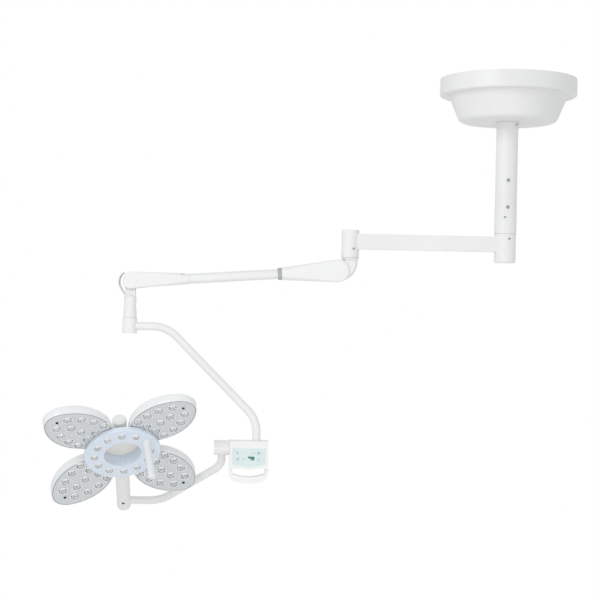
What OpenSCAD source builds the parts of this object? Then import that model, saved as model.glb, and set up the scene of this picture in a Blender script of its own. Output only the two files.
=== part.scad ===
// Ceiling-mounted dental operating light, in millimetres.
// Origin: centre of the ceiling plate's top face. +Z is up, the arms run towards -X.

/* [Ceiling mount] */
// Radius of the canopy rim
canopy_r = 251; // [240:1:260]
// Length of the drop tube below the ceiling
drop_len = 488; // [480:1:500]
// Radius of the drop tube
drop_r = 40; // [38:0.5:41]

/* [Extension arm] */
// Distance from the drop tube to the elbow
reach = 572; // [560:1:600]
// Height of the rectangular bar
bar_h = 56.5; // [50:0.5:58]
// Depth of the rectangular bar
bar_d = 43; // [36:1:46]

/* [Spring arm] */
// Slope of the spring arm below level, in degrees
arm_tilt = 4.25; // [3:0.25:5]
// Radius of the arm tube
arm_r = 18.5; // [18:0.1:18.8]
// Radius of the rear cover's round end
rear_r = 42; // [41:0.5:42]
// Radius of the front cover's round end
front_r = 38; // [37:0.5:38]

/* [Bow] */
// Turn of the bow about its upright axis, in degrees
bow_turn = 3.7; // [0:0.1:5]
// Radius of the bow and yoke tubes
tube_r = 15; // [14:0.5:15]
// Bend radius of the bow
bow_bend = 120; // [100:5:120]

/* [Control box] */
// Width of the control box
box_w = 145; // [140:1:146]
// Depth of the control box
box_d = 60; // [54:1:62]

/* [Head] */
// Tilt of the yoke from upright, in degrees
yoke_tilt = 46.3; // [40:0.1:50]
// Turn of the head in its yoke, in degrees
head_turn = 9.7; // [0:0.1:12]
// Inward lean of the petals, in degrees
dish = 5.5; // [4:0.5:6]
// Half length of a petal
petal_l = 146; // [142:1:147]
// Half width of a petal
petal_w = 99; // [96:1:99]
// Distance from the head centre to a petal centre
petal_c = 209; // [206:1:209]
// Outer radius of the light ring
ring_r = 138; // [136:1:138]

/* [Output] */
// Which piece to draw

/* [Hidden] */
$fn = 64;
elbow_x = -reach;
piv_x = -reach - 43;
piv_z = -718;
arm_len = 769;
end_x = piv_x - arm_len * cos(arm_tilt);
end_z = piv_z - arm_len * sin(arm_tilt);
link_off = 12.5;
dz = -1383;
box_x = 449.7;
box_top = -1356;
box_bot = -1456;
bow_x1 = 137.7;
bow_y1 = -937.7;
bow_x2 = 477.3;
bow_y2 = -1277.3;
tube_x = 349.6;
ex = -23.6;
ey = -340.5;
seam_y = -289;
yoke_y1 = -109.4;
yoke_x2 = 118.5;
head_y = 57.5;
depth = 66;
ring_z = 17;
dome_r = 1200;
lens_r = 16.3;
lens_spots = [[152, -66], [152, -22], [152, 22], [152, 66], [199, -66], [199, 0],
    [199, 66], [247, -55], [247, 0], [247, 55], [291, -30], [291, 30]];
handle_x = 88;
handle_y = 52;

// Placement frames

module arm_frame() {
    translate([piv_x, 0, piv_z])
        rotate([0, -arm_tilt, 0])
            rotate([0, 0, 180])
                children();
}

module bow_frame() {
    translate([end_x, 0, 0])
        rotate([0, 0, bow_turn])
            children();
}

module yoke_frame() {
    bow_frame()
        translate([0, 0, dz])
            rotate([90 + yoke_tilt, 0, 0])
                children();
}

module head_frame() {
    yoke_frame()
        translate([ex, head_y, 0])
            rotate([0, head_turn, 0])
                translate([0, 0, depth])
                    children();
}

module petal_frame(k) {
    head_frame()
        rotate([0, 0, 45 + 90 * k])
            translate([150, 0, 0])
                rotate([0, -dish, 0])
                    translate([-150, 0, 0])
                        children();
}

// General shapes

module tube_z(r1, r2, z1, z2) {
    translate([0, 0, z1])
        difference() {
            cylinder(r = r1, h = z2 - z1);
            translate([0, 0, -1])
                cylinder(r = r2, h = z2 - z1 + 2);
        }
}

module rod_z(r, z1, z2) {
    translate([0, 0, z1])
        cylinder(r = r, h = z2 - z1);
}

module rod_x(r, x1, x2) {
    translate([x1, 0, 0])
        rotate([0, 90, 0])
            cylinder(r = r, h = x2 - x1);
}

module rod_y(r, y1, y2) {
    translate([0, y2, 0])
        rotate([90, 0, 0])
            cylinder(r = r, h = y2 - y1);
}

// A disc along Y with rounded rims
module pad_y(r, half, edge) {
    rotate([90, 0, 0])
        rotate_extrude($fn = 40) {
            translate([0, -half])
                square([r - edge, 2 * half]);
            translate([0, -half + edge])
                square([r, 2 * half - 2 * edge]);
            for (s = [-1, 1])
                translate([r - edge, s * (half - edge)])
                    circle(r = edge, $fn = 24);
        }
}

// A 45 degree bend in the XY plane about the origin, starting at angle a
module bend(radius, r, a) {
    rotate([0, 0, a])
        rotate_extrude(angle = 45)
            translate([radius, 0])
                circle(r = r + 0.2);
}

// A straight run in the XY plane, its ends pushed into the slightly fuller bends
module run(r, x1, y1, x2, y2) {
    translate([x1, y1, 0])
        rotate([0, 0, atan2(y2 - y1, x2 - x1)])
            rod_x(r, -1, norm([x2 - x1, y2 - y1]) + 1);
}

module socket_screw(r, h) {
    difference() {
        cylinder(r = r, h = h);
        translate([0, 0, h - 1.5])
            cylinder(r = r * 0.5, h = 2, $fn = 6);
    }
}

// Ceiling mount

module ceiling_plate() {
    color("#c8cacc")
        difference() {
            union() {
                rod_z(120, -8, 0);
                rod_z(48, -70, -8);
            }
            rod_z(drop_r, -71, -30);
            rod_z(25, -31, 1);
            for (a = [45 : 90 : 315])
                rotate([0, 0, a])
                    translate([100, 0, -9])
                        cylinder(r = 5.5, h = 10);
        }
}

// Points along a true arc, from angle a to angle b
function arc(x, z, r, a, b) =
    [for (k = [0 : 8]) [x + r * cos(a + (b - a) * k / 8), z + r * sin(a + (b - a) * k / 8)]];

module canopy_solid(t, top) {
    rotate_extrude($fn = 128)
        polygon(concat(
            [[0, top], [canopy_r - t, top]],
            arc(canopy_r - 6, -55, 6 - t, 0, -90),
            [[219 - t, -61 + t], [213 - t, -74], [205 - t, -91]],
            arc(162, -135, 22.6 - t, -20, -90),
            [[0, -157.6 + t]]));
}

module canopy() {
    color("#eeeeea")
        difference() {
            canopy_solid(0, -0.1);
            canopy_solid(3, 1);
            rod_z(drop_r + 1.5, -170, 1);
        }
}

module canopy_collar() {
    color("#e4e4e0")
        difference() {
            rod_z(43.5, -178, -158.2);
            rod_z(drop_r, -179, -157);
        }
}

module power_supply() {
    color("#9fa4a6") {
        translate([62, -40, -58])
            cube([130, 80, 42]);
        for (y = [-30, 30])
            translate([120, y, -16])
                cylinder(r = 5, h = 16 - 8);
    }
}

module terminal_block() {
    color("#e8e4d4")
        difference() {
            translate([-108, -35, -30])
                cube([26, 70, 22]);
            for (y = [-28 : 11.2 : 28])
                translate([-95, y, -31])
                    cylinder(r = 3.2, h = 8);
        }
}

module drop_tube() {
    color("#f0f0ee")
        tube_z(drop_r, drop_r - 3, -drop_len, -30);
}

module swivel_sleeve() {
    color("#ebebe8")
        difference() {
            union() {
                rod_z(drop_r + 0.5, -569, -drop_len);
                rod_z(drop_r - 3, -drop_len, -430);
            }
            rod_z(15, -570, -429);
        }
}

module mount_screws() {
    color("#8a8d90") {
        for (z = [-373, -472])
            translate([1.5, 0, z])
                rotate([90, 0, 0])
                    translate([0, 0, drop_r - 0.01])
                        socket_screw(6, 2.6);
        rotate([0, 0, -11])
            translate([0, -drop_r - 0.49, -509])
                rotate([90, 0, 0])
                    socket_screw(4, 1.8);
        rotate([0, 0, 40])
            translate([0, -43.49, -168])
                rotate([90, 0, 0])
                    socket_screw(3, 4);
    }
}

module swivel_spindle() {
    color("#b4b8bb")
        difference() {
            union() {
                rod_z(15, -661, -440);
                rod_z(22, -661, -651);
            }
            rod_z(7, -662, -439);
        }
}

// Extension arm

module extension_arm() {
    color("#efefec")
        difference() {
            union() {
                rod_z(39.5, -673, -569.6);
                translate([elbow_x, -bar_d / 2, -636.5])
                    cube([reach, bar_d, bar_h]);
                translate([elbow_x, 0, 0])
                    rod_z(32.5, -668.5, -571);
            }
            rod_z(19, -652, -569);
            rod_z(26, -674, -650.7);
            translate([elbow_x, 0, 0]) {
                rod_z(16, -669, -604);
                rod_z(24, -604.5, -570);
            }
            translate([elbow_x + 27, -bar_d / 2 + 4, -632.5])
                cube([reach - 27 - 33, bar_d - 8, bar_h - 8]);
        }
}

module arm_bushes() {
    color("#c2a468") {
        for (z = [-650, -592])
            tube_z(19, 15.05, z, z + 20);
        translate([elbow_x, 0, 0])
            for (z = [-668.4, -628])
                tube_z(16, 12.05, z, z + 20);
    }
}

module arm_caps() {
    color("#f2f2ef") {
        translate([0, 0, -676])
            cylinder(r = 36, h = 3);
        translate([elbow_x, 0, -571])
            rotate_extrude() {
                square([30, 5]);
                square([32.5, 2.5]);
                translate([30, 2.5])
                    circle(r = 2.5);
            }
    }
}

module arm_screws() {
    color("#55585b") {
        rotate([0, 0, 14])
            translate([0, -39.49, -588])
                rotate([90, 0, 0])
                    socket_screw(4, 1.8);
        translate([elbow_x, 0, 0])
            rotate([0, 0, 20])
                translate([0, -32.49, -636])
                    rotate([90, 0, 0])
                        socket_screw(4, 1.8);
    }
}

// Rear knuckle

module elbow_spindle() {
    color("#b4b8bb")
        translate([elbow_x, 0, 0])
            difference() {
                union() {
                    rod_z(12, -674, -592);
                    rod_z(18, -603.6, -592);
                }
                rod_z(5, -675, -591);
            }
}

module rear_knuckle() {
    color("#e9e9e6") {
        difference() {
            union() {
                translate([elbow_x, 0, 0])
                    rod_z(32, -674, -669.2);
                intersection() {
                    union() {
                        translate([elbow_x + 1, 0, 0])
                            rod_z(27, -685, -673);
                        translate([elbow_x - 44, 0, -685])
                            rotate([90, 0, 0])
                                rotate([0, 0, -90])
                                    rotate_extrude(angle = 90)
                                        translate([45, 0])
                                            circle(r = 27);
                    }
                    translate([elbow_x - 60, -19, -760])
                        cube([100, 38, 88]);
                }
                translate([piv_x, 0, piv_z])
                    rod_y(22, -12, 12);
            }
            translate([piv_x, 0, piv_z]) {
                rod_y(6.05, -20, 20);
                for (s = [-1, 1])
                    translate([0, s * 17, 0])
                        rod_y(23, -4.7, 4.7);
                translate([-30, -3.5, -30])
                    cube([30, 7, 66]);
                translate([-1, -3.5, 0])
                    cube([15, 7, 36]);
            }
            translate([elbow_x, 0, 0])
                rod_z(12, -675, -668);
        }
        translate([piv_x, 0, piv_z + link_off])
            rod_y(3.5, -11.5, 11.5);
    }
}

// Spring arm

module arm_tube() {
    color("#eeeeeb")
        arm_frame()
            difference() {
                rod_x(arm_r, 95, arm_len - 95);
                rod_x(arm_r - 2, 94, arm_len - 94);
            }
}

module fork(s) {
    difference() {
        union() {
            for (y = [-15.3, 15.3])
                translate([0, y, 0]) {
                    rod_y(19, -2.6, 2.6);
                    translate([s > 0 ? 0 : -94.5, -2.6, -14])
                        cube([94.5, 5.2, 28]);
                }
            rod_x(arm_r - 2.1, s > 0 ? 76 : -130, s > 0 ? 130 : -76);
        }
        rod_y(6, -20, 20);
        translate([s > 0 ? 60 : -140, -5, 4.5])
            cube([80, 10, 13]);
    }
}

module arm_forks() {
    color("#8f9396")
        arm_frame() {
            fork(1);
            translate([arm_len, 0, 0])
                fork(-1);
        }
}

module pivot_pins() {
    color("#b9bdc0")
        arm_frame()
            for (x = [0, arm_len])
                translate([x, 0, 0])
                    rod_y(6, -19, 19);
}

module rear_hull(t) {
    hull() {
        pad_y(rear_r - t, 27 - t, 7 - t);
        translate([196, 0, 0])
            rod_x(23 - t, 0, 12 + t * 8);
    }
}

module rear_cover() {
    color("#f0f0ed")
        arm_frame()
            difference() {
                rear_hull(0);
                rear_hull(2.5);
                rod_y(41, -20.5, 20.5);
                translate([-60, -20.5, -60])
                    cube([74, 41, 120]);
                rod_x(arm_r, 180, 230);
            }
}

module front_hull(t) {
    hull() {
        pad_y(26 - t, 27 - t, 6 - t);
        translate([-2, 0, 18])
            pad_y(20 - t, 27 - t, 6 - t);
        translate([-72, 0, 5])
            pad_y(27 - t, 24 - t, 6 - t);
    }
    hull() {
        translate([-72, 0, 5])
            pad_y(27 - t, 24 - t, 6 - t);
        translate([-216 - t * 8, 0, 0])
            rod_x(t > 0 ? 18.8 : 20.2, 0, 5);
    }
}

module front_cover() {
    color("#f0f0ed")
        arm_frame()
            translate([arm_len, 0, 0])
                difference() {
                    front_hull(0);
                    front_hull(2.5);
                    rod_y(37, -20.5, 20.5);
                    translate([-58, -20.5, -60])
                        cube([120, 41, 60]);
                    translate([0, -20.5, -60])
                        cube([60, 41, 120]);
                    rod_x(arm_r, -240, -190);
                }
}

module collar_ring() {
    color("#7d8083")
        arm_frame()
            difference() {
                rod_x(22.6, 208.5, 223);
                rod_x(arm_r, 208, 230);
            }
}

module side_caps() {
    color("#f4f4f2")
        arm_frame()
            for (s = [-1, 1])
                translate([arm_len, s * 27.9, 0])
                    pad_y(23.5, 0.9, 0.8);
}

module balance_spring() {
    color("#6f7376")
        arm_frame()
            translate([0, 0, -5.5])
                for (k = [0 : 27])
                    translate([205 + k * 9, 0, 0])
                        rotate([0, 90, 0])
                            rotate_extrude()
                                translate([8.4, 0])
                                    circle(r = 1.7);
}

module spring_rod() {
    color("#a9adb0")
        arm_frame()
            translate([0, 0, -5.5]) {
                rod_x(3, 130, 500);
                rod_x(10, 190, 202);
                rod_x(10, 451, 462);
            }
}

module link_rod() {
    color("#a5a9ac")
        translate([0, 0, link_off])
            arm_frame() {
                rod_x(2.5, 4.5, arm_len - 4.5);
                for (x = [0, arm_len])
                    translate([x, 0, 0])
                        difference() {
                            rod_y(5.6, -3, 3);
                            rod_y(3.55, -4, 4);
                        }
            }
}

// Front knuckle

module front_knuckle() {
    color("#ececea")
        translate([end_x, 0, 0]) {
            difference() {
                union() {
                    translate([0, 0, end_z])
                        rod_y(20, -12, 12);
                    translate([-19, -12, end_z - 60])
                        cube([38, 24, 60]);
                    rotate_extrude()
                        polygon([[0, end_z - 48], [17, end_z - 48], [23, end_z - 56],
                            [22, end_z - 88], [24.5, -893], [24.5, -905.5], [0, -905.5]]);
                }
                translate([0, 0, end_z]) {
                    rod_y(6.05, -20, 20);
                    translate([0, -3.5, -6])
                        cube([30, 7, 42]);
                    translate([-14, -3.5, 0])
                        cube([15, 7, 36]);
                }
                rod_z(11, -906, -870);
            }
            translate([0, 0, end_z + link_off])
                rod_y(3.5, -11.5, 11.5);
        }
}

module knuckle_shell() {
    color("#f3f3f1")
        translate([end_x, 0, end_z]) {
            difference() {
                pad_y(45, 26, 6);
                rod_y(39.5, -40, 40);
                translate([-26, -40, -60])
                    cube([80, 80, 160]);
                translate([-60, -40, -80])
                    cube([80, 80, 76]);
            }
            rotate([90, 0, 0])
                translate([0, 0, -19])
                    linear_extrude(height = 38)
                        polygon([[-44.2, 5], [-39.6, 5], [-38.6, -6], [-19.1, -36],
                            [-19.1, -49], [-21, -51], [-43, -8]]);
        }
}

module bow_spindle() {
    color("#b4b8bb")
        translate([end_x, 0, 0])
            difference() {
                union() {
                    rod_z(11, -957, -870);
                    rod_z(16, -957, -950);
                }
                rod_z(4.5, -958, -869);
            }
}

// Bow and control box

module bow_hub() {
    color("#ededea")
        translate([end_x, 0, 0])
            difference() {
                rod_z(27, -965, -906);
                rod_z(11.05, -951, -905);
                rod_z(18, -962, -949.6);
            }
}

module bow_path(r) {
    t = bow_bend * tan(22.5);
    c = t * cos(45);
    rotate([90, 0, 0]) {
        run(r, 0, bow_y1, bow_x1 - t, bow_y1);
        translate([bow_x1 - t, bow_y1 - bow_bend, 0])
            bend(bow_bend, r, 45);
        run(r, bow_x1 + c, bow_y1 - c, bow_x2 - c, bow_y2 + c);
        translate([bow_x2 - bow_bend, bow_y2 - t, 0])
            bend(bow_bend, r, 0);
        run(r, bow_x2, bow_y2 - t, bow_x2, box_top - 20);
    }
}

module bow_tube() {
    color("#eeeeeb")
        bow_frame()
            difference() {
                bow_path(tube_r);
                bow_path(tube_r - 2.5);
                rod_z(27, -966, -905);
            }
}

module box_slab(w, h, r, d) {
    rotate([90, 0, 0])
        translate([0, 0, -d / 2])
            linear_extrude(height = d)
                translate([-w / 2, 0]) {
                    translate([r, 0])
                        square([w - 2 * r, h]);
                    translate([0, r])
                        square([w, h - 2 * r]);
                    for (x = [r, w - r])
                        for (y = [r, h - r])
                            translate([x, y])
                                circle(r = r);
                }
}

// Outline of the box and its loop handle, seen from the front
module box_outline() {
    intersection() {
        translate([-box_w / 2, -1514])
            square([box_w, box_top + 1514]);
        union() {
            translate([0, -1514 + 190])
                circle(r = 190, $fn = 96);
            translate([-100, -1440])
                square([200, 100]);
        }
        union() {
            translate([0, -1514 + 75])
                circle(r = 87, $fn = 96);
            translate([-100, -1514 + 75])
                square([200, 120]);
        }
    }
}

module window_cut() {
    intersection() {
        translate([-60, -1492])
            square([120, 34]);
        translate([0, -1490 + 170])
            circle(r = 170, $fn = 96);
        difference() {
            translate([-70, -1500])
                square([140, 60]);
            translate([0, -1461.5 + 190])
                circle(r = 190, $fn = 96);
        }
    }
}

module box_body(y1, y2) {
    translate([box_x, y2, 0])
        rotate([90, 0, 0])
            linear_extrude(height = y2 - y1)
                difference() {
                    box_outline();
                    window_cut();
                }
}

module box_cavity(y1, y2) {
    translate([box_x - box_w / 2 + 4, y1, -1448])
        cube([box_w - 8, y2 - y1, box_top - 4 + 1448]);
}

module box_front() {
    color("#efefec")
        bow_frame()
            difference() {
                box_body(-box_d / 2, -2);
                box_cavity(-box_d / 2 + 4, 0);
                translate([box_x, -box_d / 2 + 0.8, 0])
                    keypad_plate(2);
                for (x = [-41, -18, 36])
                    translate([box_x + x, 0, -1423])
                        rod_y(6, -40, 0);
                translate([bow_x2, 0, 0])
                    rod_z(tube_r, -1380, -1350);
                translate([0, 0, dz])
                    rod_x(20, 370, 392);
                loop_relief(-1);
            }
}

module box_back() {
    color("#ebebe8")
        bow_frame()
            difference() {
                box_body(-2, box_d / 2);
                box_cavity(-3, box_d / 2 - 4);
                translate([bow_x2, 0, 0])
                    rod_z(tube_r, -1380, -1350);
                translate([0, 0, dz])
                    rod_x(20, 370, 392);
                loop_relief(1);
            }
}

// The loop is thinner than the box
module loop_relief(s) {
    translate([box_x - 80, s > 0 ? 17 : -57, -1520])
        cube([160, 40, 62]);
}

module keypad_plate(d) {
    translate([0, d / 2, 0])
        rotate([90, 0, 0])
            linear_extrude(height = d)
                intersection() {
                    translate([-62, -1452])
                        square([124, 70]);
                    translate([0, -1452 + 170])
                        circle(r = 170, $fn = 96);
                }
}

module keypad() {
    color("#b9d2d2")
        bow_frame()
            difference() {
                translate([box_x, -box_d / 2 + 0.2, 0])
                    keypad_plate(0.7);
                for (x = [-41, -18, 36])
                    translate([box_x + x, 0, -1423])
                        rod_y(5.6, -40, 0);
                translate([box_x + 9, -40, -1423])
                    box_slab(24, 11, 2, 60);
            }
}

module level_window() {
    color("#3f8f6e")
        bow_frame()
            translate([box_x + 9, -box_d / 2 + 0.3, -1422.6])
                box_slab(23.4, 10.2, 1.8, 0.9);
}

module key_at(x) {
    bow_frame()
        translate([box_x + x, 0, -1423])
            rod_y(5.2, -box_d / 2 - 1.4, -box_d / 2 + 4.6);
}

module lamp_key() {
    color("#e6eeee")
        key_at(-41);
}

module minus_key() {
    color("#e6eeee")
        key_at(-18);
}

module plus_key() {
    color("#e6eeee")
        key_at(36);
}

module control_board() {
    color("#2f6b46")
        bow_frame() {
            translate([box_x - 57, -14, -1446])
                cube([114, 1.6, 60]);
            for (x = [-41, -18, 36])
                translate([box_x + x, -14, -1423])
                    rod_y(4, -9, 0);
        }
}

module tilt_shaft() {
    color("#b4b8bb")
        bow_frame()
            translate([0, 0, dz]) {
                rod_x(12, 328, 400);
                rod_x(20, 377.4, 381.3);
                rod_x(22, 381.2, 390);
            }
}

// Yoke

module yoke_hub() {
    color("#dcdcda")
        yoke_frame()
            difference() {
                rod_x(27.5, 320.5, 376.7);
                rod_x(12.05, 326, 378);
            }
}

module yoke_path(r) {
    t1 = 90 * tan(22.5);
    c1 = t1 * cos(45);
    t2 = 110 * tan(22.5);
    c2 = t2 * cos(45);
    run(r, tube_x, 0, tube_x, yoke_y1 + t1);
    translate([tube_x - 90, yoke_y1 + t1, 0])
        bend(90, r, -45);
    run(r, tube_x - c1, yoke_y1 - c1, yoke_x2 + c2, ey + c2);
    translate([yoke_x2 - t2, ey + 110, 0])
        bend(110, r, -90);
    run(r, yoke_x2 - t2, ey, ex, ey);
}

module yoke_tube() {
    color("#e9e9e7")
        yoke_frame()
            difference() {
                yoke_path(tube_r);
                yoke_path(tube_r - 2.5);
                rod_x(27.5, 300, 380);
                translate([ex, 0, 0])
                    rod_y(26.5, -400, -280);
            }
}

module yoke_end() {
    color("#e4e4e2")
        yoke_frame()
            translate([ex, 0, 0])
                difference() {
                    translate([0, seam_y, 0])
                        rotate([90, 0, 0])
                            rotate_extrude() {
                                square([26.5, 81]);
                                square([14.5, 93]);
                                translate([14.5, 81])
                                    circle(r = 12);
                            }
                    rod_y(10, -371, -288);
                    translate([0, -327, 0])
                        rod_z(6.2, 21, 30);
                }
}

module turn_shaft() {
    color("#b4b8bb")
        yoke_frame()
            translate([ex, 0, 0])
                rod_y(10, -371, -228);
}

module yoke_screw() {
    color("#2b2d2f")
        yoke_frame()
            translate([ex, -327, 21])
                socket_screw(6, 3.5);
}

// Head

module head_arm() {
    color("#e6e6e3")
        head_frame()
            difference() {
                union() {
                    translate([0, 0, -depth])
                        rod_y(26.5, seam_y - head_y + 0.4, 92);
                    translate([0, 0, -depth])
                        rotate([-90, 0, 0])
                            translate([0, 0, 92])
                                rotate_extrude() {
                                    square([16.5, 10]);
                                    translate([16.5, 0])
                                        intersection() {
                                            circle(r = 10);
                                            translate([-20, 0])
                                                square([40, 20]);
                                        }
                                }
                    translate([-20, -60, -60])
                        cube([40, 120, 22.6]);
                }
                translate([0, 0, -depth])
                    rod_y(10.05, -360, -284);
            }
}

module head_hub() {
    color("#e9e9e6")
        head_frame()
            difference() {
                rod_z(75, -37.4, 0.4);
                rod_z(70.8, -34.4, 1);
            }
}

// Petal outline between two depths, with its back cut to a shallow dome
module oval_dome(t, top) {
    intersection() {
        oval_flat(t, -50, top);
        translate([petal_c, 0, dome_r - 42])
            sphere(r = dome_r - t, $fn = 128);
    }
}

module petal_shell(k) {
    difference() {
        petal_frame(k)
            difference() {
                oval_dome(0, 0);
                oval_dome(4, 1);
            }
        head_frame()
            rod_z(75.3, -60, 20);
    }
    petal_frame(k)
        for (p = [[176, -43], [176, 43], [270, 0]])
            translate([p[0], p[1], -38.5])
                cylinder(r = 4, h = 22.1);
}

module petal_1() {
    color("#f1f1ee")
        petal_shell(0);
}

module petal_2() {
    color("#f1f1ee")
        petal_shell(1);
}

module petal_3() {
    color("#f1f1ee")
        petal_shell(2);
}

module petal_4() {
    color("#f1f1ee")
        petal_shell(3);
}

module oval_flat(t, z1, z2) {
    translate([0, 0, z2])
        oval_plate(t, z2 - z1);
}

// Petal outline made of true arcs, as a flat plate below z = 0
module oval_plate(t, h) {
    end_r = 65;
    e = petal_l - end_r;
    big = (e * e + petal_w * petal_w - end_r * end_r) / (2 * (petal_w - end_r));
    off = big - petal_w;
    tx = e * big / (big - end_r);
    translate([petal_c, 0, -h]) {
        intersection() {
            translate([0, off, 0])
                cylinder(r = big - t, h = h);
            translate([0, -off, 0])
                cylinder(r = big - t, h = h);
            translate([-tx, -150, -1])
                cube([2 * tx, 300, h + 2]);
        }
        for (s = [-1, 1])
            translate([s * e, 0, 0])
                cylinder(r = end_r - t, h = h);
    }
}

module petal_seals() {
    color("#4b4f52")
        for (k = [0 : 3])
            difference() {
                petal_frame(k)
                    difference() {
                        oval_flat(4, -5, -0.6);
                        oval_flat(5.6, -6, 1);
                    }
                head_frame()
                    rod_z(75.3, -60, 20);
            }
}

module lens_plates() {
    color("#b9bec0")
        for (k = [0 : 3])
            difference() {
                petal_frame(k)
                    difference() {
                        oval_flat(5.6, -3.6, -0.4);
                        for (p = lens_spots)
                            translate([p[0], p[1], -5])
                                cylinder(r = lens_r, h = 6);
                        translate([314, 0, -5])
                            cylinder(r = 5, h = 6);
                    }
                head_frame()
                    rod_z(75.3, -60, 20);
            }
}

module lens(r, base) {
    rotate_extrude()
        intersection() {
            union() {
                translate([0, base])
                    square([r, -base]);
                translate([0, 5 - r * 1.9])
                    circle(r = r * 1.9, $fn = 96);
            }
            translate([0, base])
                square([r, 40]);
        }
}

module lenses() {
    color("#e8eef2") {
        for (k = [0 : 3])
            petal_frame(k)
                for (p = lens_spots)
                    translate([p[0], p[1], 0])
                        lens(lens_r - 0.1, -10);
        head_frame()
            for (a = [60 : 30 : 360])
                rotate([0, 0, a])
                    translate([102.5, 0, ring_z])
                        lens(13.4, -6);
    }
}

module led_boards() {
    color("#2f6b46") {
        for (k = [0 : 3])
            difference() {
                petal_frame(k)
                    union() {
                        oval_flat(16, -16.4, -14.8);
                        for (p = lens_spots)
                            translate([p[0], p[1], -14.8])
                                cylinder(r = 3.5, h = 3);
                    }
                head_frame()
                    rod_z(80, -60, 20);
            }
        head_frame()
            tube_z(130, 78, 3, 4.6);
    }
}

module petal_latches() {
    color("#2b2d2f")
        for (k = [0 : 3])
            petal_frame(k)
                translate([314, 0, -4])
                    difference() {
                        cylinder(r = 4.9, h = 5.4);
                        translate([-1, -6, 4])
                            cube([2, 12, 3]);
                    }
}

module light_ring() {
    color("#b4cce6")
        head_frame()
            difference() {
                union() {
                    rotate_extrude($fn = 128) {
                        translate([0, 0.6])
                            square([ring_r, ring_z - 4.6]);
                        square([ring_r - 4, ring_z]);
                        translate([ring_r - 4, ring_z - 4])
                            circle(r = 4);
                    }
                    rod_z(70.6, -31.2, 10);
                }
                rod_z(67.6, -35, 30);
                difference() {
                    rod_z(ring_r - 3, -1, ring_z - 3.5);
                    rod_z(78, -2, 30);
                }
                tube_z(79, 70.6, -1, 0.6);
                for (a = [60 : 30 : 360])
                    rotate([0, 0, a])
                        translate([102.5, 0, 5])
                            cylinder(r = 13.5, h = 20);
                translate([handle_x, handle_y, 5])
                    cylinder(r = 12, h = 20);
            }
}

module recess_floor() {
    color("#ece9e0")
        head_frame()
            rod_z(70.6, -34.4, -31.4);
}

module handle_post() {
    color("#f2f2ef")
        head_frame()
            translate([handle_x, handle_y, 0]) {
                rod_z(11.9, 5, ring_z);
                rod_z(16.5, ring_z, ring_z + 11);
                rod_z(6.5, ring_z, ring_z + 60);
            }
}

module grip_handle() {
    color("#eef1f2")
        head_frame()
            translate([handle_x, handle_y, ring_z + 11.4])
                difference() {
                    rotate_extrude() {
                        square([13.5, 141]);
                        square([7.5, 147]);
                        translate([7.5, 141])
                            circle(r = 6);
                    }
                    rod_z(6.55, -1, 55);
                }
}

ceiling_plate();
canopy();
canopy_collar();
power_supply();
terminal_block();
drop_tube();
swivel_sleeve();
mount_screws();
swivel_spindle();
extension_arm();
arm_bushes();
arm_caps();
arm_screws();
elbow_spindle();
rear_knuckle();
arm_tube();
arm_forks();
pivot_pins();
rear_cover();
front_cover();
collar_ring();
side_caps();
balance_spring();
spring_rod();
link_rod();
front_knuckle();
knuckle_shell();
bow_spindle();
bow_hub();
bow_tube();
box_front();
box_back();
control_board();
keypad();
level_window();
lamp_key();
minus_key();
plus_key();
tilt_shaft();
yoke_hub();
yoke_tube();
yoke_end();
turn_shaft();
yoke_screw();
head_arm();
head_hub();
petal_1();
petal_2();
petal_3();
petal_4();
petal_seals();
lens_plates();
lenses();
led_boards();
petal_latches();
light_ring();
recess_floor();
handle_post();
grip_handle();
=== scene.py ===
import math
import bpy
from mathutils import Matrix, Vector


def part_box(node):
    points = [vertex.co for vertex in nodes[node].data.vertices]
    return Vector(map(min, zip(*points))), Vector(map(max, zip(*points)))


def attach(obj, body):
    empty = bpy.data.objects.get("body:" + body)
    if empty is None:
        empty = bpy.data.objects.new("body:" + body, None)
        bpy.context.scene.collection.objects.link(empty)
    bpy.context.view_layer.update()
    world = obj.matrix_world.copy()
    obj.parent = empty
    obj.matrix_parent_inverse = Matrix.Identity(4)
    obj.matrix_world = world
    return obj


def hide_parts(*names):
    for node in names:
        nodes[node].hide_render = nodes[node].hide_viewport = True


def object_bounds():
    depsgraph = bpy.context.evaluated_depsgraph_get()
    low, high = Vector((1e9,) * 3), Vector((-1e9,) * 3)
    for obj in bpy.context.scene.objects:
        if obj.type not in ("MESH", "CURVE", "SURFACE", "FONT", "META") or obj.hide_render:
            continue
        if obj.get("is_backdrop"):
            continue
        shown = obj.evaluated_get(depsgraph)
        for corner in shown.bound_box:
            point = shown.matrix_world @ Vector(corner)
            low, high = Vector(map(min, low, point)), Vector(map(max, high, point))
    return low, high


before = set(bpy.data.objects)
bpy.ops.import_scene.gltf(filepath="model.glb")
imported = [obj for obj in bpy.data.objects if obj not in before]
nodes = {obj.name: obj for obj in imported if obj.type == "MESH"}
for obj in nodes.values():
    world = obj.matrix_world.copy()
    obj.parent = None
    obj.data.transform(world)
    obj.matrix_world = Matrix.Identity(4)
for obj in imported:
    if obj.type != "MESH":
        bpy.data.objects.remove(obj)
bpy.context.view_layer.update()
print("frame loaded:", len(nodes), "nodes")


def toLinear(code):
    # sRGB hex to the linear values that sockets take
    parts = [int(code[i:i + 2], 16) / 255 for i in (1, 3, 5)]
    return [c / 12.92 if c <= 0.04045 else ((c + 0.055) / 1.055) ** 2.4 for c in parts] + [1.0]


def addNode(tree, kind, settings=None, links=None):
    # keys are socket names or numbers, and anything else is a property of the node
    node = tree.nodes.new(kind)
    for key, value in (settings or {}).items():
        if isinstance(key, int) or key in node.inputs:
            node.inputs[key].default_value = value
        else:
            setattr(node, key, value)
    for key, socket in (links or {}).items():
        tree.links.new(socket, node.inputs[key])
    return node


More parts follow.
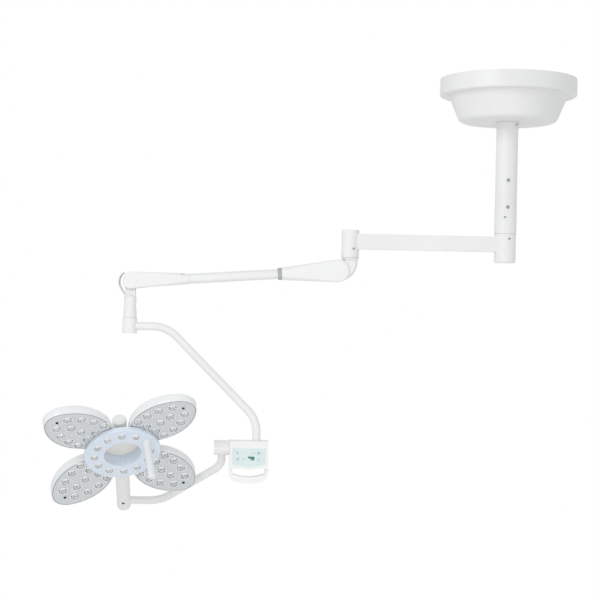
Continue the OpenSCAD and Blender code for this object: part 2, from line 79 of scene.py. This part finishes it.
def startMaterial(name):
    material = bpy.data.materials.new(name)
    material.use_nodes = True
    material.node_tree.nodes.clear()
    return material, material.node_tree


def perMetre(sizeMm):
    # texture scale for a feature of that size in millimetres
    return 1000 / sizeMm


def coatedMaterial(name, tint, shade, grainMm, grainDepthMm, roughness, ior=1.5, coat=0.0, driftMm=180):
    # A cloudy drift of colour and roughness over a fine surface grain
    material, tree = startMaterial(name)
    coords = addNode(tree, "ShaderNodeTexCoord")
    drift = addNode(tree, "ShaderNodeTexNoise", {"Scale": perMetre(driftMm), "Detail": 3.0},
                    {"Vector": coords.outputs["Object"]})
    colour = addNode(tree, "ShaderNodeValToRGB", None, {"Fac": drift.outputs["Fac"]})
    colour.color_ramp.elements[0].position = 0.3
    colour.color_ramp.elements[0].color = toLinear(shade)
    colour.color_ramp.elements[1].position = 0.7
    colour.color_ramp.elements[1].color = toLinear(tint)
    sheen = addNode(tree, "ShaderNodeMapRange", {"To Min": roughness - 0.04, "To Max": roughness + 0.05},
                    {"Value": drift.outputs["Fac"]})
    grain = addNode(tree, "ShaderNodeTexNoise",
                    {"Scale": perMetre(grainMm), "Detail": 2.0, "Roughness": 0.4},
                    {"Vector": coords.outputs["Object"]})
    bump = addNode(tree, "ShaderNodeBump", {"Strength": 0.35, "Distance": grainDepthMm / 1000},
                   {"Height": grain.outputs["Fac"]})
    shader = addNode(tree, "ShaderNodeBsdfPrincipled",
                     {"IOR": ior, "Coat Weight": coat, "Coat Roughness": 0.08},
                     {"Base Color": colour.outputs["Color"], "Roughness": sheen.outputs["Result"],
                      "Normal": bump.outputs["Normal"]})
    addNode(tree, "ShaderNodeOutputMaterial", None, {"Surface": shader.outputs["BSDF"]})
    return material


def metalMaterial(name, tint, shade, lineMm, roughness):
    # Turned or drawn metal: fine lines round the part, slightly uneven polish
    material, tree = startMaterial(name)
    coords = addNode(tree, "ShaderNodeTexCoord")
    lines = addNode(tree, "ShaderNodeTexWave",
                    {"Scale": perMetre(lineMm) / 6, "Distortion": 1.2, "Detail": 2.0, "bands_direction": "Z"},
                    {"Vector": coords.outputs["Object"]})
    cloud = addNode(tree, "ShaderNodeTexNoise", {"Scale": perMetre(14), "Detail": 3.0},
                    {"Vector": coords.outputs["Object"]})
    colour = addNode(tree, "ShaderNodeMix", {"data_type": "RGBA", 6: toLinear(tint), 7: toLinear(shade)},
                     {0: cloud.outputs["Fac"]})
    polish = addNode(tree, "ShaderNodeMapRange", {"To Min": roughness - 0.06, "To Max": roughness + 0.08},
                     {"Value": lines.outputs["Fac"]})
    bump = addNode(tree, "ShaderNodeBump", {"Strength": 0.2, "Distance": 0.00002},
                   {"Height": lines.outputs["Fac"]})
    shader = addNode(tree, "ShaderNodeBsdfPrincipled", {"Metallic": 1.0},
                     {"Base Color": colour.outputs[2], "Roughness": polish.outputs["Result"],
                      "Normal": bump.outputs["Normal"]})
    addNode(tree, "ShaderNodeOutputMaterial", None, {"Surface": shader.outputs["BSDF"]})
    return material


def clearMaterial(name, tint, shade, transmission, roughness, ior, grainMm, grainDepthMm):
    # Clear or milky moulding, with faint flow marks
    material, tree = startMaterial(name)
    coords = addNode(tree, "ShaderNodeTexCoord")
    flow = addNode(tree, "ShaderNodeTexNoise", {"Scale": perMetre(60), "Detail": 2.0},
                   {"Vector": coords.outputs["Object"]})
    colour = addNode(tree, "ShaderNodeMix", {"data_type": "RGBA", 6: toLinear(tint), 7: toLinear(shade)},
                     {0: flow.outputs["Fac"]})
    grain = addNode(tree, "ShaderNodeTexNoise", {"Scale": perMetre(grainMm)},
                    {"Vector": coords.outputs["Object"]})
    bump = addNode(tree, "ShaderNodeBump", {"Strength": 0.2, "Distance": grainDepthMm / 1000},
                   {"Height": grain.outputs["Fac"]})
    frost = addNode(tree, "ShaderNodeMapRange", {"To Min": roughness, "To Max": roughness + 0.05},
                    {"Value": grain.outputs["Fac"]})
    shader = addNode(tree, "ShaderNodeBsdfPrincipled", {"IOR": ior, "Transmission Weight": transmission},
                     {"Base Color": colour.outputs[2], "Roughness": frost.outputs["Result"],
                      "Normal": bump.outputs["Normal"]})
    addNode(tree, "ShaderNodeOutputMaterial", None, {"Surface": shader.outputs["BSDF"]})
    return material


# Polyester powder coat on steel and aluminium: an even satin white with a faint orange peel
powderCoat = coatedMaterial("powderCoatWhite", "#f0f0ee", "#ebebe9", 2.5, 0.05, 0.34)
# Powder coat on the rolled canopy, a shade warmer
canopyCoat = coatedMaterial("powderCoatCanopy", "#efefed", "#e9e9e7", 3.0, 0.06, 0.4)
# Moulded ABS: a soft satin from a spark-eroded mould, grain drawn coarser than real so that it shows
mouldedAbs = coatedMaterial("mouldedAbsWhite", "#f2f2f0", "#ededeb", 1.2, 0.03, 0.4, 1.53)
# Gloss polycarbonate blend of the petal backs
petalGloss = coatedMaterial("glossPolycarbonateWhite", "#eff1f0", "#e9ebea", 4.0, 0.02, 0.24, 1.58, 0.3)
# Silicone grip, slightly milky
gripSilicone = coatedMaterial("siliconeGripWhite", "#eef0f0", "#e6e9e9", 0.9, 0.04, 0.46, 1.41)
# Grey ABS trim collar
collarGrey = coatedMaterial("mouldedAbsGrey", "#b4b6b7", "#abadae", 1.2, 0.03, 0.45, 1.53)
# Off-white acetal floor of the centre well
acetalCream = coatedMaterial("acetalCream", "#f1eee6", "#ebe7de", 2.0, 0.02, 0.42, 1.48)
# Silicone sealing cord, matt and dark
sealRubber = coatedMaterial("siliconeSealGrey", "#5b6063", "#4b5053", 0.8, 0.05, 0.7, 1.43)
# Phenolic terminal block
terminalPlastic = coatedMaterial("phenolicIvory", "#e6e0cf", "#dcd6c4", 1.5, 0.03, 0.5)
# White solder mask over glass-fibre board
ledBoardMask = coatedMaterial("solderMaskWhite", "#d9dddc", "#cdd2d1", 1.0, 0.02, 0.35)
greenBoardMask = coatedMaterial("solderMaskGreen", "#2f6b46", "#28603d", 1.0, 0.02, 0.35)
# Printed polyester keypad film, lightly textured
keypadFilm = coatedMaterial("polyesterFilmAqua", "#dbe8e6", "#d4e2e0", 0.7, 0.02, 0.38, 1.6)
keyFilm = coatedMaterial("polyesterFilmPale", "#dfe9e8", "#d6e2e1", 0.7, 0.02, 0.36, 1.6)
# Screen-print inks
inkDark = coatedMaterial("screenInkDark", "#3f4c4d", "#364243", 0.5, 0.01, 0.5)
inkWhite = coatedMaterial("screenInkWhite", "#f6f8f7", "#eff3f2", 0.5, 0.01, 0.5)
inkGreens = [coatedMaterial("screenInkGreen" + str(i), tint, tint, 0.5, 0.01, 0.45)
             for i, tint in enumerate(["#eef6f3", "#c9e6dc", "#8fcdb9", "#4fae92", "#25856c", "#1d5d4f"])]
# Turned steel, zinc plated
turnedSteel = metalMaterial("zincPlatedSteel", "#b9bcbf", "#a6aaad", 0.8, 0.3)
# Black oxide screws and latches
blackOxide = metalMaterial("blackOxideSteel", "#3a3c3f", "#2a2c2e", 0.8, 0.38)
# Die-cast aluminium forks and the power supply's case
castAluminium = metalMaterial("dieCastAluminium", "#a9acae", "#96999b", 3.0, 0.46)
# Oil-filled sintered bronze
sinteredBronze = metalMaterial("sinteredBronze", "#b08d55", "#96743f", 1.0, 0.42)
# Spring steel, dark drawn wire
springSteel = metalMaterial("oiledSpringSteel", "#6b6f72", "#55595c", 0.6, 0.34)
# Glossy white PBT reflector, very bright
reflectorWhite = coatedMaterial("whitePbtReflector", "#fbfbfb", "#f7f8f8", 2.0, 0.01, 0.18, 1.56, 0.4)
# Smoked translucent polycarbonate cover of each petal
smokedCover = clearMaterial("smokedPolycarbonate", "#e6eaeb", "#dfe4e5", 0.15, 0.22, 1.58, 2.0, 0.02)
# Clear acrylic lens
clearAcrylic = clearMaterial("clearAcrylic", "#ffffff", "#f8fbfc", 1.0, 0.02, 1.49, 6.0, 0.005)
# Milky blue acrylic ring
milkyBlue = clearMaterial("milkyBlueAcrylic", "#ecf4fe", "#e3effc", 0.1, 0.16, 1.49, 3.0, 0.01)
# Green window over the level lamps
greenWindow = clearMaterial("greenTintedAcrylic", "#3f8f74", "#2f7f64", 0.3, 0.15, 1.49, 3.0, 0.005)
# Phosphor-coated chip
phosphor = coatedMaterial("yellowPhosphor", "#e2cf6a", "#d4be55", 0.6, 0.02, 0.6)
chipBody = coatedMaterial("blackEpoxy", "#38393b", "#2b2c2e", 0.6, 0.02, 0.5)
print("materials made")

finishes = {
    "powder": (powderCoat, ["canopy_collar", "drop_tube", "swivel_sleeve", "extension_arm", "rear_knuckle",
                            "arm_tube", "front_knuckle", "bow_hub", "bow_tube", "yoke_hub", "yoke_tube",
                            "yoke_end", "head_arm", "head_hub"]),
    "canopy": (canopyCoat, ["canopy"]),
    "abs": (mouldedAbs, ["arm_caps", "rear_cover", "front_cover", "side_caps", "knuckle_shell", "box_front",
                         "box_back", "handle_post"]),
    "petals": (petalGloss, ["petal_1", "petal_2", "petal_3", "petal_4"]),
    "grip": (gripSilicone, ["grip_handle"]),
    "collar": (collarGrey, ["collar_ring"]),
    "floor": (acetalCream, ["recess_floor"]),
    "seal": (sealRubber, ["petal_seals"]),
    "terminals": (terminalPlastic, ["terminal_block"]),
    "ledBoard": (ledBoardMask, ["led_boards"]),
    "controlBoard": (greenBoardMask, ["control_board"]),
    "film": (keypadFilm, ["keypad"]),
    "keys": (keyFilm, ["lamp_key", "minus_key", "plus_key"]),
    "steel": (turnedSteel, ["ceiling_plate", "swivel_spindle", "elbow_spindle", "pivot_pins", "spring_rod",
                            "link_rod", "bow_spindle", "tilt_shaft", "turn_shaft", "mount_screws",
                            "arm_screws"]),
    "black": (blackOxide, ["yoke_screw", "petal_latches"]),
    "cast": (castAluminium, ["arm_forks", "power_supply"]),
    "bronze": (sinteredBronze, ["arm_bushes"]),
    "spring": (springSteel, ["balance_spring"]),
    "cover": (smokedCover, ["lens_plates"]),
    "lens": (clearAcrylic, ["lenses"]),
    "ring": (milkyBlue, ["light_ring"]),
    "window": (greenWindow, ["level_window"]),
}
for material, members in finishes.values():
    for name in members:
        nodes[name].data.materials.clear()
        nodes[name].data.materials.append(material)

# Clean shading on the solids: round faces smooth, edges sharper than the limit crisp
shading = {"mergeMm": 0.004, "sharpAngle": 32}
crispEdges = bpy.data.node_groups.new("crispEdges", "GeometryNodeTree")
crispEdges.interface.new_socket("Geometry", in_out="INPUT", socket_type="NodeSocketGeometry")
crispEdges.interface.new_socket("Geometry", in_out="OUTPUT", socket_type="NodeSocketGeometry")
came = addNode(crispEdges, "NodeGroupInput")
merged = addNode(crispEdges, "GeometryNodeMergeByDistance", {"Distance": shading["mergeMm"] / 1000},
                 {"Geometry": came.outputs[0]})
softened = addNode(crispEdges, "GeometryNodeSetShadeSmooth", {"domain": "FACE", "Shade Smooth": True},
                   {"Geometry": merged.outputs[0]})
bend = addNode(crispEdges, "GeometryNodeInputMeshEdgeAngle")
flatEnough = addNode(crispEdges, "FunctionNodeCompare",
                     {"operation": "LESS_THAN", 1: math.radians(shading["sharpAngle"])},
                     {0: bend.outputs["Unsigned Angle"]})
creased = addNode(crispEdges, "GeometryNodeSetShadeSmooth", {"domain": "EDGE"},
                  {"Geometry": softened.outputs[0], "Shade Smooth": flatEnough.outputs["Result"]})
addNode(crispEdges, "NodeGroupOutput", None, {0: creased.outputs[0]})


def crispShading(thing):
    if "custom_normal" in thing.data.attributes:
        thing.data.attributes.remove(thing.data.attributes["custom_normal"])
    thing.modifiers.new("crispEdges", "NODES").node_group = crispEdges
    weighted = thing.modifiers.new("weighted", "WEIGHTED_NORMAL")
    weighted.keep_sharp = True
    weighted.weight = 50


for node in nodes.values():
    crispShading(node)


# Placement frames, the same as the solids'
place = {"endX": -1381.885, "bowTurn": 3.7, "tiltZ": -1383, "yokeTilt": 46.3, "headX": -23.6,
         "headY": 57.5, "headTurn": 9.7,
         "headDepth": 66, "petalDish": 5.5, "petalHinge": 150}


def shift(x, y, z):
    return Matrix.Translation(Vector((x, y, z)) / 1000)


def turn(angle, axis):
    return Matrix.Rotation(math.radians(angle), 4, axis)


bowFrame = shift(place["endX"], 0, 0) @ turn(place["bowTurn"], "Z")
yokeFrame = bowFrame @ shift(0, 0, place["tiltZ"]) @ turn(90 + place["yokeTilt"], "X")
headFrame = yokeFrame @ shift(place["headX"], place["headY"], 0) @ turn(place["headTurn"], "Y")
headFrame = headFrame @ shift(0, 0, place["headDepth"])


def petalFrame(k):
    hinge = place["petalHinge"]
    atHinge = headFrame @ turn(45 + 90 * k, "Z") @ shift(hinge, 0, 0)
    return atHinge @ turn(-place["petalDish"], "Y") @ shift(-hinge, 0, 0)


def makePiece(name, points, faces, material, body, replaced=()):
    mesh = bpy.data.meshes.new(name)
    mesh.from_pydata([tuple(p) for p in points], [], faces)
    mesh.validate()
    for face in mesh.polygons:
        face.use_smooth = True
    mesh.materials.append(material)
    piece = bpy.data.objects.new(name, mesh)
    bpy.context.scene.collection.objects.link(piece)
    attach(piece, body)
    if replaced:
        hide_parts(*replaced)
    return piece


def bridgeRings(rings, closeStart=False, closeEnd=False):
    # faces between rings of equal count, each ring a list of point numbers
    faces = []
    for a, b in zip(rings, rings[1:]):
        count = len(a)
        for i in range(count):
            j = (i + 1) % count
            faces.append((a[i], a[j], b[j], b[i]))
    if closeStart:
        faces.append(tuple(reversed(rings[0])))
    if closeEnd:
        faces.append(tuple(rings[-1]))
    return faces


def spun(profile, steps, matrix, points, faces, closed=False):
    # turns a profile of (radius, height) in millimetres round its axis; a closed profile joins its own start
    rings = []
    for radius, height in profile:
        ring = []
        for i in range(steps):
            a = 2 * math.pi * i / steps
            ring.append(len(points))
            points.append(matrix @ (Vector((radius * math.cos(a), radius * math.sin(a), height)) / 1000))
        rings.append(ring)
    faces.extend(bridgeRings(rings + [rings[0]]) if closed else bridgeRings(rings, True, True))


# Petal housings: a shallow cap on an oval of four arcs, with a rounded lip
petal = {"halfLength": 146, "halfWidth": 99, "endRadius": 65, "centre": 209, "domeRadius": 1200, "depth": 42,
         "wall": 4,
         "edgeRound": 9, "hubRadius": 75.35, "steps": 22}


def petalOutline(inset):
    # true arcs: two ends and two long sides, the same count of points at any inset
    reach = petal["halfLength"] - petal["endRadius"]
    wide, end = petal["halfWidth"], petal["endRadius"]
    big = (reach ** 2 + wide ** 2 - end ** 2) / (2 * (wide - end))
    low = big - wide
    split = math.atan2(low, reach)
    arcs = [((reach, 0), end - inset, -split, split),
            ((0, -low), big - inset, split, math.pi - split),
            ((-reach, 0), end - inset, math.pi - split, math.pi + split),
            ((0, low), big - inset, math.pi + split, 2 * math.pi - split)]
    outline = []
    for (x, y), radius, a, b in arcs:
        for i in range(petal["steps"]):
            angle = a + (b - a) * i / petal["steps"]
            outline.append((x + radius * math.cos(angle), y + radius * math.sin(angle)))
    return outline


def domeHeight(x, y, wall):
    radius = petal["domeRadius"]
    return radius - petal["depth"] - math.sqrt((radius - wall) ** 2 - x * x - y * y)


def petalRings():
    rings = []
    wall, rounding = petal["wall"], petal["edgeRound"]
    for share in (0.02, 0.25, 0.5, 0.75, 1.0):  # inside of the dome, from the middle out
        rings.append([(x * share, y * share, domeHeight(x * share, y * share, wall))
                      for x, y in petalOutline(30)])
    for inset in (16, 8, wall):
        rings.append([(x, y, domeHeight(x, y, wall)) for x, y in petalOutline(inset)])
    rings.append([(x, y, -0.5) for x, y in petalOutline(wall)])
    for step in range(5):  # rounded lip
        a = math.pi * step / 4
        inset = wall - 0.3 - (wall - 0.3) * (1 - math.cos(a)) / 2
        rings.append([(x, y, -1.5 + 1.5 * math.sin(a)) for x, y in petalOutline(inset)])
    for step in range(7):  # rounded back edge
        a = math.pi / 2 * step / 6
        inset = rounding * (1 - math.cos(a))
        drop = rounding * (1 - math.sin(a))
        rings.append([(x, y, domeHeight(x, y, 0) + drop) for x, y in petalOutline(inset)])
    for inset in (16, 30):
        rings.append([(x, y, domeHeight(x, y, 0)) for x, y in petalOutline(inset)])
    for share in (0.75, 0.5, 0.25, 0.02):
        rings.append([(x * share, y * share, domeHeight(x * share, y * share, 0))
                      for x, y in petalOutline(30)])
    return rings


intoHead = headFrame.inverted()
for k in range(4):
    points, numbers = [], []
    for ring in petalRings():
        row = []
        for x, y, z in ring:
            spot = intoHead @ petalFrame(k) @ (Vector((x + petal["centre"], y, z)) / 1000)
            reach = math.hypot(spot.x, spot.y)
            if reach < petal["hubRadius"] / 1000:  # the inner end is cut round the hub
                spot.x *= petal["hubRadius"] / 1000 / reach
                spot.y *= petal["hubRadius"] / 1000 / reach
            row.append(len(points))
            points.append(headFrame @ spot)
        numbers.append(row)
    makePiece("petalShell" + str(k + 1), points, bridgeRings(numbers, True, True), petalGloss,
              "head", ["petal_" + str(k + 1)])
print("petals made")


# Front knuckle's shell, one smooth crescent down to the neck
shell = {"outer": 44.8, "thick": 4.6, "halfWide": 25.6, "edge": 2.0, "arcFrom": 126, "arcTo": 206,
         "arcSteps": 20, "neckX": -20.6, "neckZ": -49,
         "neckThick": 1.8, "neckHalf": 18.4, "neckSteps": 8}
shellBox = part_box("knuckle_shell")
shellAxis = Vector((place["endX"] / 1000, 0, shellBox[0][2] + 0.051))


def shellSection(x, z, normalX, normalZ, thick, half):
    # one rounded cross-section, outer face first
    edge = min(shell["edge"], thick * 0.45)
    rounding = edge * 0.3
    loop = [(0, -half + edge), (0, half - edge), (rounding, half - rounding), (edge, half),
            (thick - edge, half), (thick - rounding, half - rounding), (thick, half - edge),
            (thick, -half + edge), (thick - rounding, -half + rounding), (thick - edge, -half), (edge, -half),
            (rounding, -half + rounding)]
    return [shellAxis + Vector((x - normalX * depth, across, z - normalZ * depth)) / 1000
            for depth, across in loop]


sections = []
for step in range(shell["arcSteps"] + 1):
    a = math.radians(shell["arcFrom"] + (shell["arcTo"] - shell["arcFrom"]) * step / shell["arcSteps"])
    sections.append((shell["outer"] * math.cos(a), shell["outer"] * math.sin(a), math.cos(a), math.sin(a),
                     shell["thick"], shell["halfWide"]))
lastX, lastZ, lastNormalX, lastNormalZ = sections[-1][:4]
for step in range(1, shell["neckSteps"] + 1):
    t = step / shell["neckSteps"]
    ease = t * t * (3 - 2 * t)
    sections.append((lastX + (shell["neckX"] - lastX) * t, lastZ + (shell["neckZ"] - lastZ) * t,
                     lastNormalX, lastNormalZ,
                     shell["thick"] + (shell["neckThick"] - shell["thick"]) * ease,
                     shell["halfWide"] + (shell["neckHalf"] - shell["halfWide"]) * ease))
shellPoints, shellRings = [], []
for section in sections:
    loop = shellSection(*section)
    shellRings.append(list(range(len(shellPoints), len(shellPoints) + len(loop))))
    shellPoints += loop
crispShading(makePiece("knuckleCrescent", shellPoints, bridgeRings(shellRings, True, True), mouldedAbs,
                       "front_joint", ["knuckle_shell"]))
print("knuckle shell made")


# Lenses, each a clear dome in a white cup over its chip
lamp = {"petalRadius": 16.2, "ringRadius": 13.4, "ringHeight": 17, "ringPitch": 102.5, "rise": 6.2,
        "cupDepth": 10, "flange": 3.2, "steps": 28}
lensSpots = [(152, -66), (152, -22), (152, 22), (152, 66), (199, -66), (199, 0), (199, 66),
             (247, -55), (247, 0), (247, 55), (291, -30), (291, 30)]
lensPlaces = [(petalFrame(k) @ shift(x, y, 0), lamp["petalRadius"]) for k in range(4) for x, y in lensSpots]
ringSpot = shift(lamp["ringPitch"], 0, lamp["ringHeight"])
lensPlaces += [(headFrame @ turn(a, "Z") @ ringSpot, lamp["ringRadius"]) for a in range(60, 361, 30)]


def chipDepth(radius):
    # how far the chip lies below the cover
    return lamp["cupDepth"] * radius / lamp["petalRadius"] * 0.9


def lensProfile(radius):
    deep = chipDepth(radius)
    profile = [(radius * 0.34, -deep), (radius * 0.42, -deep + 0.2), (radius * 0.9, -1.8),
               (radius * 0.985, -1.2), (radius * 0.985, 0.4)]
    for step in range(1, 8):  # low rounded dome
        a = math.pi / 2 * step / 7.2
        profile.append((radius * 0.95 * math.cos(a), 0.4 + lamp["rise"] * 0.92 * math.sin(a)))
    return profile


def cupProfile(radius):
    deep = chipDepth(radius)
    # the cup ends in a thin flange that lies on the cover round the lens
    rim = radius + lamp["flange"]
    return [(0.1, -deep - 0.6), (radius * 0.5, -deep - 0.6), (radius * 0.97, -1.9), (radius * 0.998, -1.2),
            (radius * 0.998, 0.02), (rim, 0.02), (rim, 0.7), (rim - 0.6, 1.1), (radius * 0.99, 1.4),
            (radius * 0.99, -1.3),
            (radius * 0.93, -2.0), (radius * 0.45, -deep - 0.25), (0.1, -deep - 0.25)]


blockSides = ((3, 2, 1, 0), (4, 5, 6, 7), (0, 1, 5, 4), (1, 2, 6, 5), (2, 3, 7, 6), (3, 0, 4, 7))
lensPoints, lensFaces, cupPoints, cupFaces = [], [], [], []
chipPoints, chipFaces, frameFaces, framePoints = [], [], [], []
for matrix, radius in lensPlaces:
    spun(lensProfile(radius), lamp["steps"], matrix, lensPoints, lensFaces)
    spun(cupProfile(radius), lamp["steps"], matrix, cupPoints, cupFaces, True)
    deep = chipDepth(radius)
    for half, low, high, pointList, faceList in ((3.6, -deep - 0.6, -deep - 0.25, framePoints, frameFaces),
                                                 (2.2, -deep - 0.25, -deep - 0.1, chipPoints, chipFaces)):
        base = len(pointList)
        for z in (low, high):
            for x, y in ((-1, -1), (1, -1), (1, 1), (-1, 1)):
                pointList.append(matrix @ (Vector((x * half, y * half, z)) / 1000))
        faceList += [tuple(base + n for n in quad) for quad in blockSides]
makePiece("lensDomes", lensPoints, lensFaces, clearAcrylic, "head", ["lenses"])
makePiece("lensCups", cupPoints, cupFaces, reflectorWhite, "head")
makePiece("chipFrames", framePoints, frameFaces, chipBody, "head")
makePiece("chipPhosphors", chipPoints, chipFaces, phosphor, "head")
print("lenses made:", len(lensPlaces))


# Keypad prints
keypad = {"boxX": 449.7, "keyHeight": -1423, "face": -30.16, "thickness": 0.12, "keyFace": -31.42,
          "windowFace": -30.17}


def printShapes(name, shapes, material, body, depth):
    # flat printed marks on the front face; each shape is a list of (across, up) corners in millimetres
    points, faces = [], []
    for shape in shapes:
        base = len(points)
        for y in (depth, depth - keypad["thickness"]):
            points += [bowFrame @ (Vector((keypad["boxX"] + x, y, keypad["keyHeight"] + z)) / 1000)
                       for x, z in shape]
        count = len(shape)
        faces.append(tuple(range(base + count, base + 2 * count)))
        faces.append(tuple(reversed(range(base, base + count))))
        for i in range(count):
            after = (i + 1) % count
            faces.append((base + i, base + after, base + count + after, base + count + i))
    piece = makePiece(name, points, faces, material, body)
    for face in piece.data.polygons:
        face.use_smooth = False
    return piece


def bar(x, z, wide, high):
    return [(x - wide / 2, z - high / 2), (x + wide / 2, z - high / 2), (x + wide / 2, z + high / 2),
            (x - wide / 2, z + high / 2)]


def arcBand(x, z, inner, outer, a, b, steps):
    # a ring part as separate quads
    quads = []
    for i in range(steps):
        u, v = math.radians(a + (b - a) * i / steps), math.radians(a + (b - a) * (i + 1) / steps)
        quads.append([(x + r * math.cos(w), z + r * math.sin(w))
                      for r, w in ((inner, u), (outer, u), (outer, v), (inner, v))])
    return quads


def ray(x, z, angle, near, far, wide):
    a = math.radians(angle)
    c, s = math.cos(a), math.sin(a)
    return [(x + near * c + wide * s, z + near * s - wide * c),
            (x + far * c + wide * s, z + far * s - wide * c),
            (x + far * c - wide * s, z + far * s + wide * c),
            (x + near * c - wide * s, z + near * s + wide * c)]


lampRays = [ray(-41, 0, a, 2.8, 4.0, 0.3) for a in range(0, 360, 45)]
printShapes("lampMark", arcBand(-41, 0, 1.5, 2.2, 0, 360, 20) + lampRays,
            inkDark, "lamp_switch", keypad["keyFace"])
printShapes("minusMark", [bar(-18, 0, 4.6, 0.9)], inkDark, "minus_switch", keypad["keyFace"])
printShapes("plusMark", [bar(36, 0, 4.6, 0.9), bar(36, 1.4, 0.9, 1.9), bar(36, -1.4, 0.9, 1.9)],
            inkDark, "plus_switch", keypad["keyFace"])
sun = arcBand(36, 24, 2.0, 3.0, 0, 360, 20) + [ray(36, 24, a, 4.0, 6.4, 0.5) for a in range(0, 360, 45)]
moon = arcBand(-41, 24, 3.0, 4.2, 60, 300, 18)
wave = [bar(12 + i * 5, 24 - (i % 2) * 2, 3, 1.1) for i in range(3)]
printShapes("panelMarks", sun + moon + wave, inkDark, "bow", keypad["face"])
printShapes("panelRims", sum([arcBand(x, 0, 6.1, 6.9, 0, 360, 28) for x in (-41, -18, 36)], []),
            inkWhite, "bow", keypad["face"])
for i in range(6):
    printShapes("levelLamp" + str(i + 1), [bar(-0.5 + i * 3.8, 0.4, 3.2, 7.4)],
                inkGreens[i], "bow", keypad["windowFace"])
print("keypad made")


# Set, lights and camera
studio = {"floorZ": -2.75, "floorHalf": 2.6, "worldView": 1.0, "worldLight": 0.74}
floorMesh = bpy.data.meshes.new("floorSheet")
half = studio["floorHalf"]
floorMesh.from_pydata([(-half - 0.7, -half, studio["floorZ"]), (half - 0.7, -half, studio["floorZ"]),
                       (half - 0.7, half, studio["floorZ"]), (-half - 0.7, half, studio["floorZ"])],
                      [], [(0, 1, 2, 3)])
floorMesh.materials.append(coatedMaterial("paleFloorPaint", "#f4f4f3", "#f0f0ef", 8.0, 0.05, 0.7))
floor = bpy.data.objects.new("floorSheet", floorMesh)
bpy.context.scene.collection.objects.link(floor)
floor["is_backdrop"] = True

world = bpy.data.worlds.new("studioWorld")
bpy.context.scene.world = world
world.use_nodes = True
tree = world.node_tree
tree.nodes.clear()
rayKind = addNode(tree, "ShaderNodeLightPath")
seen = addNode(tree, "ShaderNodeBackground", {"Color": toLinear("#ffffff"), "Strength": studio["worldView"]})
lit = addNode(tree, "ShaderNodeBackground", {"Color": toLinear("#fbfcff"), "Strength": studio["worldLight"]})
both = addNode(tree, "ShaderNodeMixShader", None,
               {0: rayKind.outputs["Is Camera Ray"], 1: lit.outputs["Background"],
                2: seen.outputs["Background"]})
addNode(tree, "ShaderNodeOutputWorld", None, {"Surface": both.outputs["Shader"]})


def softLight(name, spot, aim, size, power):
    light = bpy.data.lights.new(name, "AREA")
    light.shape = "DISK"
    light.size = size
    light.energy = power
    lightObject = bpy.data.objects.new(name, light)
    bpy.context.scene.collection.objects.link(lightObject)
    lightObject.location = spot
    lightObject.rotation_euler = (Vector(aim) - Vector(spot)).to_track_quat("-Z", "Y").to_euler()


softLight("keyLight", (-3.2, -4.2, 1.6), (-0.8, 0, -0.9), 2.6, 66)
softLight("fillLight", (-0.6, -3.6, -2.3), (-1.3, 0, -1.3), 2.4, 22)
softLight("backLight", (0.2, 4.4, 1.4), (-0.8, 0, -0.8), 3.0, 24)

view = {"sensor": 36, "lens": 82.2, "spot": (-0.754, -5.069, -0.829), "roll": -1.2}
camera = bpy.data.cameras.new("camera")
camera.sensor_width = view["sensor"]
camera.lens = view["lens"]
cameraObject = bpy.data.objects.new("camera", camera)
bpy.context.scene.collection.objects.link(cameraObject)
cameraObject.location = view["spot"]
cameraObject.rotation_euler = (math.radians(90), math.radians(view["roll"]), 0)
bpy.context.scene.camera = cameraObject
bpy.context.scene.view_settings.view_transform = "Standard"
print("studio made")

low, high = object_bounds()
